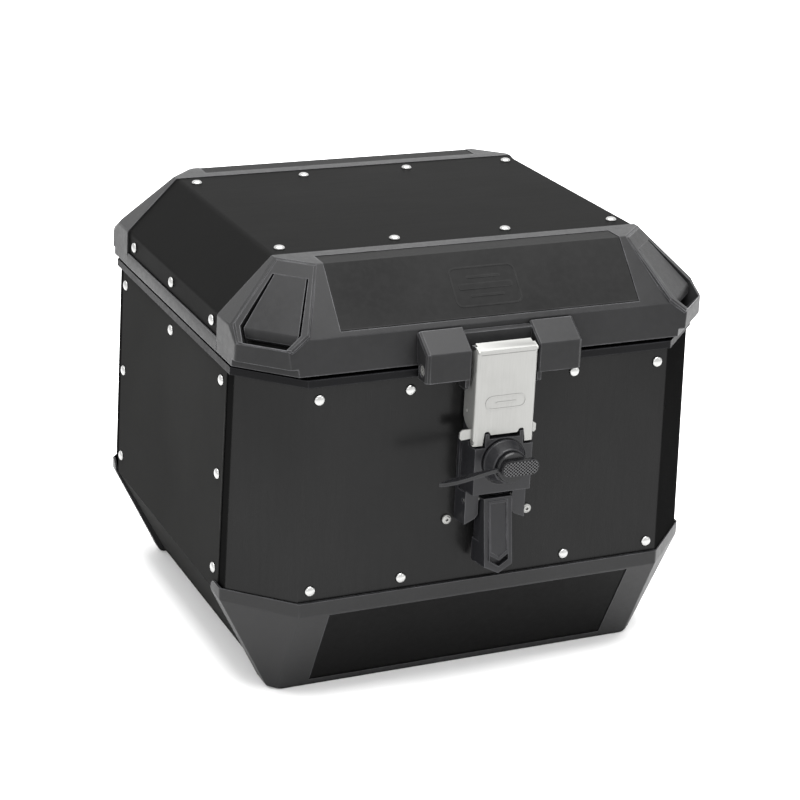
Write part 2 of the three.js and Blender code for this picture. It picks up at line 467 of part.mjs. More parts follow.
// lid rivets
for (const [s, n] of [[-1, 'front'], [1, 'rear']]) {
  const z = LID_SHEET_TOP + GAP;
  put(`rivets_lid_${n}`, join(LID_ROW_X.map(x => rivet([x, s * LID_ROW_Y, z], [0, 0, 1], 6.0)),
    box(-159, 159, s * LID_ROW_Y - 6, s * LID_ROW_Y + 6, LID_SHEET_TOP - 6.1, LID_SHEET_TOP - 4.7)), RIVET);
}
for (const [s, n] of [[-1, 'left'], [1, 'right']]) {
  const x = LID_SHEET_HX + GAP;
  const a = s * (LID_SHEET_HX - 4.7), b = s * (LID_SHEET_HX - 6.1);
  put(`rivets_lid_${n}`, join(LID_SIDE_Y.map(y => rivet([s * x, y, LID_SIDE_Z], [s, 0, 0], 6.0)),
    box(Math.min(a, b), Math.max(a, b), -112, 112, 312.6, 323)), RIVET);
}

// ---------------------------------------------------------------- latch bracket on the lid
{
  // y, z outline of a horn: sloped top, nose in front, skirt hanging over the rim
  const band = 200.3;
  const horn = [[-(band + 0.3), 299.5], [-(band - 2.4), 323.0], [-199.2, 325.0], [-219.4, 311.0], [-219.4, 286.6], [-203.0, 286.6], [-203.0, 297.4], [-201.0, 299.5]];
  const hornPlanes = s => {
    const P = [[0, -1, 0, 219.4], unit([0, -14, 20.2, -14 * -199.2 + 20.2 * 325.0]), [-s, 0, 0, -30], [s, 0, 0, 70.0], [0, 0, -1, -286.6]];
    const nose = P[0], top = P[1], inn = P[2], out = P[3];
    return [...P, ...rounding(nose, top, 2.6, 2), ...rounding(nose, inn, 2.2, 1), ...rounding(nose, out, 4.4, 2), ...rounding(top, inn, 2.2, 1), ...rounding(top, out, 4.0, 2),
      [0, 1, 0, -195]];
  };
  const side = prismX(horn, -74, 74);
  let m = join(hull(hornPlanes(1)).intersect(side), hull(hornPlanes(-1)).intersect(side),
    prismX([[-(band + 0.3), 299.5], [-(band - 2.2), 322.0], [-203.4, 321.0], [-204.2, 299.5]], -31, 31));
  for (const s of [-1, 1]) {
    m = join(m, prismX([[-217.2, 288], [-217.2, 279.6], [-215.2, 277.5], [-206, 277.5], [-206, 288]], Math.min(s * 30.4, s * 34.2), Math.max(s * 30.4, s * 34.2)));
  }
  // seat for the pin heads and the pin bore
  for (const s of [-1, 1]) {
    const a = (x0, x1, r, n) => cylX(r, -210, 295.5, Math.min(s * x0, s * x1), Math.max(s * x0, s * x1), n);
    m = cut(m, a(34, 74, 2.3, 10), a(66.4, 74, 4.9, 12));
  }
  put('latch_bracket', m, PLASTIC);
  put('catch_bar', prismX([[-204.5, 300], [-204.5, 310.6], [-212.6, 311.6], [-218.4, 309.5], [-218.4, 291], [-206.5, 291]], -24.6, 24.6), ZINC);
  for (const [s, n] of [[-1, 'left'], [1, 'right']]) {
    const a = (x0, x1, r, k) => cylX(r, -210, 295.5, Math.min(s * x0, s * x1), Math.max(s * x0, s * x1), k);
    put('bracket_screw_' + n, cut(join(a(36, 69.4, 2.0, 10), a(66.7, 69.4, 4.4, 12)), a(68.2, 71, 1.6, 6)), STEEL);
  }
}

// ---------------------------------------------------------------- hinges
for (const [s, n] of [[-1, 'left'], [1, 'right']]) {
  const x = s * HINGE_X;
  const R = 4.2;
  let b = join(box(x - 32, x + 32, 202.0, 204.4, 252, HINGE_Z - 3.2), cylX(R, HINGE_Y, HINGE_Z, x - 32, x + 32, 14),
    box(x - 32, x + 32, 202.0, 206, HINGE_Z - 5.5, HINGE_Z - 1));
  b = cut(b, box(x - 14.3, x + 14.3, 200, 212, HINGE_Z - R - 1.5, HINGE_Z + R + 1), cylX(2.4, HINGE_Y, HINGE_Z, x - 40, x + 40, 12));
  b = join(b, box(x - 24, x + 24, BODY_HY + GAP, 202.2, 254, 280));
  b = cut(b, box(x - 40, x - 24.3, 201, 202.6, 268, 284), box(x + 24.3, x + 40, 201, 202.6, 268, 284));
  put('hinge_body_leaf_' + n, b, PLASTIC);
  let l = join(box(x - 13.8, x + 13.8, 201.2, 204.2, HINGE_Z + 3.2, 322), cylX(R, HINGE_Y, HINGE_Z, x - 13.8, x + 13.8, 14),
    box(x - 13.8, x + 13.8, 202.4, 206, HINGE_Z + 1, HINGE_Z + 5.5));
  l = join(l, box(x - 26, x + 26, 201.2, 204.2, 304, 322));
  l = cut(l, cylX(2.4, HINGE_Y, HINGE_Z, x - 40, x + 40, 12));
  put('hinge_lid_leaf_' + n, l, PLASTIC);
  put('hinge_pin_' + n, cylX(2.0, HINGE_Y, HINGE_Z, x - 33.5, x + 33.5, 10), STEEL);
}

// ---------------------------------------------------------------- lock block
{
  const F = -(BODY_HY + GAP);
  let m = prismZ([[-30, F], [30, F], [26, -225], [-26, -225]], 157.5, 231.6);
  m = join(m, box(-17.2, 17.2, -225, F, 231, 235.1), box(-17.2, -13.9, -225, -212, 234, 239.8), box(13.9, 17.2, -225, -212, 234, 239.8),
    box(-25.2, 25.2, -215.6, F, 230, 262));
  // clearance for the latch plate's feet and the pin
  m = cut(m, box(17.2, 32, -227, -215.4, 227.8, 240), box(-32, -17.2, -227, -215.4, 227.8, 240));
  m = cut(m, cylX(1.9, LATCH_PIV_Y, LATCH_PIV_Z, -40, 40, 10));
  // recess for the release lever, legs either side
  m = cut(m, box(-40, 40, -230, -215, 150, 187), box(-15.6, 15.6, -230, -204, 150, 187));
  m = cut(m, prismY([[14, 150], [31, 150], [31, 156], [26, 158], [18.2, 161.4], [14, 167]], -230, -204),
    prismY([[-14, 150], [-31, 150], [-31, 156], [-26, 158], [-18.2, 161.4], [-14, 167]], -230, -204));
  // stepped flank and a shallow frame round the lock
  for (const sx of [-1, 1]) {
    m = cut(m, box(Math.min(sx * 27.6, sx * 33), Math.max(sx * 27.6, sx * 33), -230, -203.2, 186, 227));
  }
  m = cut(m, cylY(20.4, 0, LOCK_Z, -227, -224.3, 28));
  m = cut(m, cylY(10.2, 0, LOCK_Z, -230, -195, 16), cylX(2.1, LEVER_Y, LEVER_Z, -40, 40, 10));
  put('lock_block', m, PLASTIC);
  put('latch_pin', cylX(1.5, LATCH_PIV_Y, LATCH_PIV_Z, -27.0, 27.0, 12), STEEL);
  put('lever_pin', cylX(1.7, LEVER_Y, LEVER_Z, -27.2, 27.2, 10), STEEL);
}
// latch plate: pressed from one sheet with round side bends, a rolled lip at the top, feet, ears and a plain raised frame
{
  const hx = LATCH_HX, yf = LATCH_Y, R = 3.6;
  const bend = (o, back) => {
    const r = R - o, q = [[-(hx - o), back]];
    for (let i = 0; i <= 5; i++) { const t = Math.PI / 2 * i / 5; q.push([-(hx - o) + r - r * Math.cos(t), yf + o + r - r * Math.sin(t)]); }
    return [...q, ...q.map(([x, y]) => [-x, y]).reverse()];
  };
  let m = prismZ(bend(0, -200), 228, 312).subtract(prismZ(bend(LATCH_T, -190), 220, 320));
  // outline of the face and of the flanges
  m = m.intersect(prismY([[-40, 226], [-19.0, 226], [-19.0, 231.6], [-17.6, 240.6], [-16.6, 241.4], [-14.2, 241.4], [-13.4, 240.6], [-11.9, 238.2], [11.9, 238.2],
    [13.4, 240.6], [14.2, 241.4], [16.6, 241.4], [17.6, 240.6], [19.0, 231.6], [19.0, 226], [40, 226], [40, 320], [-40, 320]], -230, -195));
  m = m.intersect(prismX([[-224, 310.6], [-218.4, 311.2], [-213, 308.6], [-207, 300], [-202.2, 290], [-202.2, 250], [-204.6, 246.2], [-209.5, 243.0],
    [-215.2, 241.2], [-216.4, 236.5], [-217.6, 231.6], [-219, 229.6], [-221, 229.0], [-224, 229.8]], -40, 40));
  // rolled lip, set back at its ends
  m = join(m, prismX([[yf + 0.1, 308.4], [yf, 309.9], [yf + 0.6, 311.2], [-212.2, 314.6], [-211.5, 313.2], [yf + 1.5, 310.2], [yf + 1.5, 308.4]], -hx + 2.6, hx - 2.6));
  m = join(m, prismX([[yf + 0.2, 308.8], [yf + 0.2, 310.4], [yf + 1.2, 311.4], [yf + 7.0, 313.2], [yf + 6.4, 311.6], [yf + 1.6, 310.2], [yf + 1.6, 308.8]], -hx + 0.7, hx - 0.7));
  for (const s of [-1, 1]) {
    const e = s < 0 ? 37.6 : 31.4;     // finger ear, longer on the left
    m = join(m, prismY([[s * (hx - 0.5), 235.4], [s * (e - 1.6), 234.6], [s * e, 236.2], [s * e, 241.6], [s * (e - 2.4), 243.4], [s * (hx - 0.5), 243.4]], -218.8, -217.3));
  }
  const pill = (a, r, n = 6) => {
    const q = [];
    for (let i = 0; i <= n; i++) { const t = -Math.PI / 2 + Math.PI * i / n; q.push([a + r * Math.cos(t), 266 + r * Math.sin(t)]); }
    for (let i = 0; i <= n; i++) { const t = Math.PI / 2 + Math.PI * i / n; q.push([-a + r * Math.cos(t), 266 + r * Math.sin(t)]); }
    return q;
  };
  m = join(m, prismY(pill(12.5, 6), yf - 0.35, yf + 0.5, [pill(12.5, 4.9)]), box(-9, 9, yf - 0.35, yf + 0.5, 265.4, 266.6));
  // crease between the face and the lip
  m = cut(m, box(-hx + 3, hx - 3, yf - 1, yf + 0.35, 307.6, 308.3));
  // stub pins in the flanges
  for (const s of [-1, 1]) m = join(m, cylX(1.7, -207.6, 256, Math.min(s * 25.9, s * 28.0), Math.max(s * 25.9, s * 28.0), 12));
  m = cut(m, cylX(1.9, LATCH_PIV_Y, LATCH_PIV_Z, -40, 40, 12));
  put('latch_plate', m, STEEL);
}
// lock collar, barrel, cam, key
{
  const ring = (prof, n = 24) => solid(new THREE.LatheGeometry(prof.map(p => new THREE.Vector2(p[0], p[1])), n)
    .rotateX(Math.PI).translate(0, -225, LOCK_Z));
  // profile: radius, distance in front of the block face
  let c = ring([[9.1, 0.3], [18.6, 0.3], [18.9, 0.9], [18.6, 2.4], [18.1, 3.0], [15.3, 11.6], [14.6, 12.8], [13.6, 13.2], [9.1, 13.2], [9.1, 0.3]], 36);
  for (const a of [0.62, 2.52, 3.76, 5.66]) {
    const w = 3.4;
    const flute = solid(new THREE.BoxGeometry(w, 16, w).rotateZ(0).applyMatrix4(new THREE.Matrix4().makeRotationX(0.42))
      .translate(0, -225 - 9.2, 17.4 + 0.4).applyMatrix4(new THREE.Matrix4().makeRotationY(a)));
    c = cut(c, flute.translate([0, 0, LOCK_Z]));
  }
  put('lock_collar', c, PLASTIC);
  let b = join(cylY(8.7, 0, LOCK_Z, -238.0, -190, 20), cylY(4.4, 0, LOCK_Z, -190.5, -183, 8));
  b = cut(b, box(-4.3, 4.3, -240, -210, LOCK_Z - 1.4, LOCK_Z + 1.4));
  put('lock_barrel', b, ZINC);
  let cam = join(cylY(8.5, 0, LOCK_Z, -189.6, -187.2, 16), box(-6, 6, -189.6, -187.2, LOCK_Z, LOCK_Z + 27));
  cam = cut(cam, cylY(4.8, 0, LOCK_Z, -192, -180, 8));
  put('lock_cam', cam, STEEL);
  // key: round head, ridged grip pad to the right, slim blade-like arm to the left
  let k = join(ring([[0, 13.5], [12.2, 13.5], [13.2, 14.2], [13.4, 16.6], [12.6, 18.0], [0, 18.0]], 28), box(-3.8, 3.8, -239, -212.5, LOCK_Z - 1.0, LOCK_Z + 1.0));
  const pad = (r, n = 7) => {
    const q = [], xa = -4.5, xb = 15.2;
    for (let i = 0; i <= n; i++) { const t = -Math.PI / 2 + Math.PI * i / n; q.push([xb + r * Math.cos(t), LOCK_Z + 0.8 + r * Math.sin(t)]); }
    for (let i = 0; i <= n; i++) { const t = Math.PI / 2 + Math.PI * i / n; q.push([xa + r * Math.cos(t), LOCK_Z + 0.8 + r * Math.sin(t)]); }
    return q;
  };
  k = join(k, prismY(pad(6.9), -246.6, -242.4), prismY(pad(6.2), -247.2, -246.4));
  const arm = [[-11, -240.6], [-24, -240.2], [-38, -240.4], [-50, -241.4], [-59, -243.0], [-65.5, -244.9], [-67, -245.8], [-66, -247.0], [-62, -248.2],
    [-54, -249.0], [-46, -248.4], [-36, -246.8], [-24, -244.6], [-11, -243.0]];
  const A = new THREE.Matrix4().makeTranslation(-11, 0, LOCK_Z).multiply(new THREE.Matrix4().makeRotationY(-0.085))
    .multiply(new THREE.Matrix4().makeTranslation(11, 0, 0));
  k = join(k, solid(extrude(arm, 3.0).translate(0, 0, -1.5).applyMatrix4(A)));
  put('key', k, PLASTIC);
}
// release lever: hollow shell with a raised face panel, a chevron slot and stepped flanks
{
  let m = hullPts([[12.8, -219.6, 180], [-12.8, -219.6, 180], [15.2, -206, 180], [-15.2, -206, 180],
    [12.8, -227.2, 121.5], [-12.8, -227.2, 121.5], [0, -227.9, 115], [15.2, -206, 120.5], [-15.2, -206, 120.5], [0, -206, 117]]);
  const rise = hullPts([[9.4, -216, 178.5], [-9.4, -216, 178.5], [8.8, -220.6, 177.6], [-8.8, -220.6, 177.6],
    [9.4, -222, 125.8], [-9.4, -222, 125.8], [0, -222, 119.6], [8.8, -228.3, 126.6], [-8.8, -228.3, 126.6], [0, -228.7, 120.6]]);
  m = join(m, rise);
  // flanks stand back above the grip end
  m = cut(m, box(13.9, 20, -216.5, -200, 141, 190), box(-20, -13.9, -216.5, -200, 141, 190));
  m = cut(m, prismX([[-230, 108], [-230, 119.2], [-213, 121.5], [-213, 108]], 9.9, 20), prismX([[-230, 108], [-230, 119.2], [-213, 121.5], [-213, 108]], -20, -9.9));
  m = cut(m, prismX([[-200, 110], [-223.4, 110], [-217.8, 160], [-213.4, 167], [-200, 167]], -10.8, 10.8));
  // sunk face panel, ending in a V
  const face = [[-7.2, 175.4], [7.2, 175.4], [7.2, 134.4], [0, 129.6], [-7.2, 134.4]];
  m = cut(m, hullPts([...face.map(([x, z]) => [x, -236, z]), ...face.map(([x, z]) => [x, -220.6 + (z - 177.6) * 0.151 + 0.8, z])]));
  // chevron slot
  m = cut(m, prismY([[-8.4, 131.6], [-8.4, 126.8], [0, 121.4], [8.4, 126.8], [8.4, 131.6], [0, 126.4]], -231, -224.4));
  m = cut(m, cylX(2.1, LEVER_Y, LEVER_Z, -20, 20, 10));
  put('release_lever', m, PLASTIC);
}
// backing plate and its screws
{
  let m = box(-46, 46, -197.7, -195.7, 146, 259);
  m = cut(m, cylY(10.2, 0, LOCK_Z, -200, -190, 16), holesY([[-SCREW_X, SCREW_Z], [SCREW_X, SCREW_Z]], -200, -190, 2.4));
  put('lock_backing_plate', m, ZINC);
  for (const [s, n] of [[-1, 'left'], [1, 'right']]) {
    const x = s * SCREW_X;
    let sc = join(cylY(4.0, x, SCREW_Z, -201.6, -199.8, 14), cylY(2.6, x, SCREW_Z, -202.3, -201.5, 14, 3.6),
      cylY(1.9, x, SCREW_Z, -200, -191, 10), cylY(4.0, x, SCREW_Z, -195.3, -192.1, 6));
    sc = cut(sc, cylY(1.4, x, SCREW_Z, -203, -200.9, 6));
    put('lock_screw_' + n, sc, STEEL);
  }
}

export default group;
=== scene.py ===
import bpy, bmesh, math
from mathutils import Vector, Matrix


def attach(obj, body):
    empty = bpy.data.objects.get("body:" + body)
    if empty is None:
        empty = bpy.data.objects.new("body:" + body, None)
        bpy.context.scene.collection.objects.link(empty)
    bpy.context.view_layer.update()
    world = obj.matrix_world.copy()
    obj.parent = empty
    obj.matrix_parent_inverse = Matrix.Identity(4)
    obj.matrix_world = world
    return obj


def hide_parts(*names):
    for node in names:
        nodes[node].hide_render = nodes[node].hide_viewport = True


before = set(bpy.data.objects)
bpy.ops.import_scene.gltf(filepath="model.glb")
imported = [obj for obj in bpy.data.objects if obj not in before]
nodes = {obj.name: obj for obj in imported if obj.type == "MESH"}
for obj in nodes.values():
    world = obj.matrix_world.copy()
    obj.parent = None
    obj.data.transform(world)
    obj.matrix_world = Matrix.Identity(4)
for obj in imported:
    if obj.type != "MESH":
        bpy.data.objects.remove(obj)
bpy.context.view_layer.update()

MM = 0.001
scene = bpy.context.scene


# ------------------------------------------------------------------ node helpers
def new_mat(name):
    m = bpy.data.materials.new(name)
    m.use_nodes = True
    nt = m.node_tree
    nt.nodes.clear()
    out = nt.nodes.new("ShaderNodeOutputMaterial")
    b = nt.nodes.new("ShaderNodeBsdfPrincipled")
    nt.links.new(b.outputs[0], out.inputs[0])
    return m, nt, b


def noise(nt, vec, scale, detail=3.0, rough=0.55, dist=0.0):
    n = nt.nodes.new("ShaderNodeTexNoise")
    n.inputs["Scale"].default_value = scale
    n.inputs["Detail"].default_value = detail
    n.inputs["Roughness"].default_value = rough
    n.inputs["Distortion"].default_value = dist
    nt.links.new(vec, n.inputs["Vector"])
    return n.outputs["Fac"]


def mathn(nt, op, a, b=None, clamp=False):
    n = nt.nodes.new("ShaderNodeMath")
    n.operation = op
    n.use_clamp = clamp
    for i, v in enumerate((a, b)):
        if v is None:
            continue
        if isinstance(v, (int, float)):
            n.inputs[i].default_value = v
        else:
            nt.links.new(v, n.inputs[i])
    return n.outputs[0]


def remap(nt, v, a, b, c, d):
    n = nt.nodes.new("ShaderNodeMapRange")
    n.inputs["From Min"].default_value = a
    n.inputs["From Max"].default_value = b
    n.inputs["To Min"].default_value = c
    n.inputs["To Max"].default_value = d
    nt.links.new(v, n.inputs["Value"])
    return n.outputs[0]


def mixc(nt, fac, a, b):
    n = nt.nodes.new("ShaderNodeMix")
    n.data_type = "RGBA"
    if isinstance(fac, (int, float)):
        n.inputs["Factor"].default_value = fac
    else:
        nt.links.new(fac, n.inputs["Factor"])
    for key, v in ((6, a), (7, b)):
        if isinstance(v, tuple):
            n.inputs[key].default_value = (*v, 1.0)
        else:
            nt.links.new(v, n.inputs[key])
    return n.outputs[2]


def coords(nt, stretch=(1, 1, 1), rot=(0, 0, 0)):
    t = nt.nodes.new("ShaderNodeTexCoord")
    mp = nt.nodes.new("ShaderNodeMapping")
    mp.inputs["Scale"].default_value = stretch
    mp.inputs["Rotation"].default_value = rot
    nt.links.new(t.outputs["Object"], mp.inputs["Vector"])
    return mp.outputs[0]


def edge_mask(nt, radius, gain):
    """1 along convex and concave edges, 0 on flats."""
    bv = nt.nodes.new("ShaderNodeBevel")
    bv.samples = 4
    bv.inputs["Radius"].default_value = radius
    geo = nt.nodes.new("ShaderNodeNewGeometry")
    d = nt.nodes.new("ShaderNodeVectorMath")
    d.operation = "DOT_PRODUCT"
    nt.links.new(bv.outputs[0], d.inputs[0])
    nt.links.new(geo.outputs["Normal"], d.inputs[1])
    inv = mathn(nt, "SUBTRACT", 1.0, d.outputs["Value"])
    return mathn(nt, "MULTIPLY", inv, gain, clamp=True)


def bump(nt, b, height, strength, dist, chain=None):
    n = nt.nodes.new("ShaderNodeBump")
    n.inputs["Strength"].default_value = strength
    n.inputs["Distance"].default_value = dist
    nt.links.new(height, n.inputs["Height"])
    if chain is not None:
        nt.links.new(chain, n.inputs["Normal"])
    if b is not None:
        nt.links.new(n.outputs[0], b.inputs["Normal"])
    return n.outputs[0]


def painted_cavity_shade(nt, dist, low):
    """Painted shade: 1 in the open, down to low in seams and recesses."""
    a = nt.nodes.new("ShaderNodeAmbientOcclusion")
    a.samples = 6
    a.inputs["Distance"].default_value = dist
    r = remap(nt, a.outputs["AO"], 0.10, 0.70, low, 1.0)
    return mathn(nt, "MINIMUM", r, 1.0)


def scaled(nt, c, f):
    n = nt.nodes.new("ShaderNodeVectorMath")
    n.operation = "SCALE"
    nt.links.new(c, n.inputs[0])
    nt.links.new(f, n.inputs["Scale"])
    return n.outputs[0]


def plastic(name, base, lift=1.35, rough=(0.42, 0.56), spec=0.4, grain=2600.0, grain_h=0.35, edge_lift=0.35, edge_wear_and_highlight=(0.11, 0.11, 0.115), detail=None):
    """Moulded plastic: spark-eroded grain, faint flow clouds, lighter edges that are partly rubbed wear and partly
    painted highlight, dust, and painted shade in seams and recesses.
    """
    m, nt, b = new_mat(name)
    v = coords(nt)
    clouds = noise(nt, v, 9.0, 4.0, 0.6)
    mottle = noise(nt, v, 180.0, 3.0, 0.6)
    fine = noise(nt, v, grain, 2.0, 0.6)
    pits = nt.nodes.new("ShaderNodeTexVoronoi")
    pits.feature = "SMOOTH_F1"
    pits.inputs["Scale"].default_value = grain * 0.42
    pits.inputs["Smoothness"].default_value = 0.5
    nt.links.new(v, pits.inputs["Vector"])
    c = mixc(nt, remap(nt, clouds, 0.35, 0.65, 0.0, 1.0), base, tuple(x * lift for x in base))
    c = mixc(nt, remap(nt, mottle, 0.42, 0.66, 0.0, 0.22), c, tuple(x * 1.9 for x in base))
    # Lighter edges: partly rubbed wear, partly a painted highlight along the edges.
    e = edge_mask(nt, 0.0013, 9.0)
    lighter_edge = mathn(nt, "MULTIPLY", e, remap(nt, noise(nt, v, 60.0, 4.0, 0.65), 0.36, 0.64, edge_lift * 0.35, edge_lift), clamp=True)
    c = mixc(nt, lighter_edge, c, edge_wear_and_highlight)
    # Painted shade: the base colour is darkened in seams and recesses.
    cav_shade = painted_cavity_shade(nt, 0.006, 0.25)
    if detail is not None:
        c, pattern = detail(nt, c)
    nt.links.new(scaled(nt, c, cav_shade), b.inputs["Base Color"])
    r = remap(nt, clouds, 0.3, 0.7, rough[0], rough[1])
    r = mathn(nt, "ADD", r, remap(nt, mottle, 0.3, 0.7, -0.04, 0.04))
    r = mathn(nt, "SUBTRACT", r, mathn(nt, "MULTIPLY", lighter_edge, 0.12))
    nt.links.new(r, b.inputs["Roughness"])
    sp = mathn(nt, "MULTIPLY", cav_shade, spec)
    if detail is not None:
        sp = mathn(nt, "MULTIPLY", sp, remap(nt, pattern, 0.0, 1.0, 0.04, 1.0))
    nt.links.new(sp, b.inputs["Specular IOR Level"])
    h = mathn(nt, "ADD", fine, mathn(nt, "MULTIPLY", pits.outputs["Distance"], 0.9))
    n1 = bump(nt, None, h, grain_h, 0.00010)
    n1 = bump(nt, None if detail is not None else b, noise(nt, v, 26.0, 2.0, 0.5), 0.06, 0.0012, chain=n1)
    if detail is not None:
        bump(nt, b, pattern, 1.0, 0.0006, chain=n1)
    return m


def coated_sheet(name, base, rough=(0.40, 0.52), spec=0.35, metallic=0.0, grain_dir=(1, 1, 1), edge_lift=0.30):
    """Anodised sheet with a fine powdery grain, drawn marks and slightly rubbed edges."""
    m, nt, b = new_mat(name)
    v = coords(nt)
    vs = coords(nt, grain_dir)
    clouds = noise(nt, v, 5.0, 4.0, 0.55)
    drawn = noise(nt, vs, 320.0, 4.0, 0.6)
    fine = noise(nt, v, 4200.0, 2.0, 0.7)
    sparkle = noise(nt, v, 1500.0, 2.0, 0.6)
    c = mixc(nt, remap(nt, clouds, 0.35, 0.65, 0.0, 1.0), base, tuple(x * 1.16 for x in base))
    c = mixc(nt, remap(nt, sparkle, 0.50, 0.72, 0.0, 0.30), c, tuple(x * 1.8 for x in base))
    c = mixc(nt, remap(nt, drawn, 0.45, 0.75, 0.0, 0.08), c, tuple(x * 0.6 for x in base))
    e = edge_mask(nt, 0.0009, 10.0)
    lighter_edge = mathn(nt, "MULTIPLY", e, remap(nt, noise(nt, v, 75.0, 4.0, 0.65), 0.42, 0.60, 0.0, edge_lift), clamp=True)
    c = mixc(nt, lighter_edge, c, (0.16, 0.16, 0.158))
    # Painted shade: the base colour is darkened in seams and recesses.
    nt.links.new(scaled(nt, c, painted_cavity_shade(nt, 0.010, 0.30)), b.inputs["Base Color"])
    r = remap(nt, clouds, 0.3, 0.7, rough[0], rough[1])
    r = mathn(nt, "ADD", r, remap(nt, drawn, 0.3, 0.7, -0.02, 0.02))
    nt.links.new(r, b.inputs["Roughness"])
    b.inputs["Metallic"].default_value = metallic
    b.inputs["Specular IOR Level"].default_value = spec
    b.inputs["Specular Tint"].default_value = (0.05, 0.05, 0.05, 1.0) if metallic else (1.0, 1.0, 1.0, 1.0)
    h = mathn(nt, "ADD", mathn(nt, "MULTIPLY", fine, 0.7), mathn(nt, "MULTIPLY", drawn, 0.15))
    n1 = bump(nt, None, h, 0.25, 0.00006)
    bump(nt, b, noise(nt, v, 7.0, 2.0, 0.5), 0.05, 0.002, chain=n1)
    return m


def metal(name, base, rough=(0.24, 0.36), stretch=(1, 1, 1), scale=500.0, brush=0.25, tint=(0.9, 0.9, 0.92), aniso=0.0, tarnish=0.12, metallic=1.0):
    """Bare metal: brush lines, patchy roughness and small scratches."""
    m, nt, b = new_mat(name)
    v = coords(nt)
    vs = coords(nt, stretch)
    brushed = noise(nt, vs, scale, 5.0, 0.65)
    patch = noise(nt, v, 30.0, 4.0, 0.6)
    scr = nt.nodes.new("ShaderNodeTexVoronoi")
    scr.feature = "DISTANCE_TO_EDGE"
    scr.inputs["Scale"].default_value = 55.0
    nt.links.new(coords(nt, (1.0, 1.0, 0.25), (0.3, 0.5, 0.2)), scr.inputs["Vector"])
    line = remap(nt, scr.outputs["Distance"], 0.0, 0.006, 1.0, 0.0)
    line = mathn(nt, "MULTIPLY", line, remap(nt, noise(nt, v, 22.0, 2.0, 0.5), 0.52, 0.68, 0.0, 0.5), clamp=True)
    c = mixc(nt, remap(nt, brushed, 0.3, 0.7, 0.0, 0.35), base, tuple(x * 0.80 for x in base))
    c = mixc(nt, remap(nt, patch, 0.45, 0.75, 0.0, tarnish), c, tuple(x * 0.62 for x in base))
    c = mixc(nt, line, c, tint)
    # Painted shade: the base colour is darkened in seams and recesses.
    nt.links.new(scaled(nt, c, painted_cavity_shade(nt, 0.003, 0.22)), b.inputs["Base Color"])
    b.inputs["Metallic"].default_value = metallic
    r = remap(nt, brushed, 0.25, 0.75, rough[0], rough[1])
    r = mathn(nt, "ADD", r, remap(nt, patch, 0.3, 0.7, -0.04, 0.05))
    nt.links.new(r, b.inputs["Roughness"])
    b.inputs["Anisotropic"].default_value = aniso
    h = mathn(nt, "SUBTRACT", brushed, mathn(nt, "MULTIPLY", line, 0.6))
    bump(nt, b, h, brush, 0.00005)
    return m


def knurl(centre, half, r, front):
    """Crossed grooves inside a round-ended field on the key's grip, with painted shade in the grooves and a painted
    highlight on the ridge lines. centre, half, r and front are in the key node's own frame, in metres.
    """
    def detail(nt, c):
        t = nt.nodes.new("ShaderNodeTexCoord")
        sp = nt.nodes.new("ShaderNodeSeparateXYZ")
        nt.links.new(t.outputs["Object"], sp.inputs[0])
        dx = mathn(nt, "SUBTRACT", sp.outputs[0], centre[0])
        dz = mathn(nt, "SUBTRACT", sp.outputs[2], centre[2])
        ax = mathn(nt, "MAXIMUM", mathn(nt, "SUBTRACT", mathn(nt, "ABSOLUTE", dx), half), 0.0)
        d2 = mathn(nt, "ADD", mathn(nt, "MULTIPLY", ax, ax), mathn(nt, "MULTIPLY", dz, dz))
        inside = mathn(nt, "LESS_THAN", d2, r * r)
        fr = mathn(nt, "LESS_THAN", sp.outputs[1], front)
        field = mathn(nt, "MULTIPLY", inside, fr)
        hs = []
        for sg in (1.0, -1.0):
            a = mathn(nt, "ADD", mathn(nt, "MULTIPLY", dx, 1.0 / 0.0031), mathn(nt, "MULTIPLY", dz, sg / 0.0027))
            f = mathn(nt, "FRACT", a)
            hs.append(mathn(nt, "ABSOLUTE", mathn(nt, "SUBTRACT", f, 0.5)))
        ridge = mathn(nt, "MAXIMUM", hs[0], hs[1])
        pit = mathn(nt, "MULTIPLY", remap(nt, ridge, 0.28, 0.37, 1.0, 0.0), field, clamp=True)
        line = mathn(nt, "MULTIPLY", remap(nt, ridge, 0.34, 0.44, 0.0, 1.0), field, clamp=True)
        # Painted shade darkens the groove pits; a painted highlight lightens the ridge lines.
        c = mixc(nt, pit, c, (0.002, 0.002, 0.002))
        c = mixc(nt, mathn(nt, "MULTIPLY", line, 0.9), c, (0.066, 0.066, 0.068))
        return c, mathn(nt, "SUBTRACT", 1.0, pit)
    return detail


M = {}
bpy.context.view_layer.update()
kinv = nodes["key"].matrix_world.inverted()
kc = kinv @ Vector((0.00535, -0.2472, 0.2158))
M["lid_sheet"] = coated_sheet("lid_aluminium", (0.0076, 0.0076, 0.0075), rough=(0.36, 0.46), spec=0.012, metallic=0.50, grain_dir=(0.06, 1, 1), edge_lift=0.15)
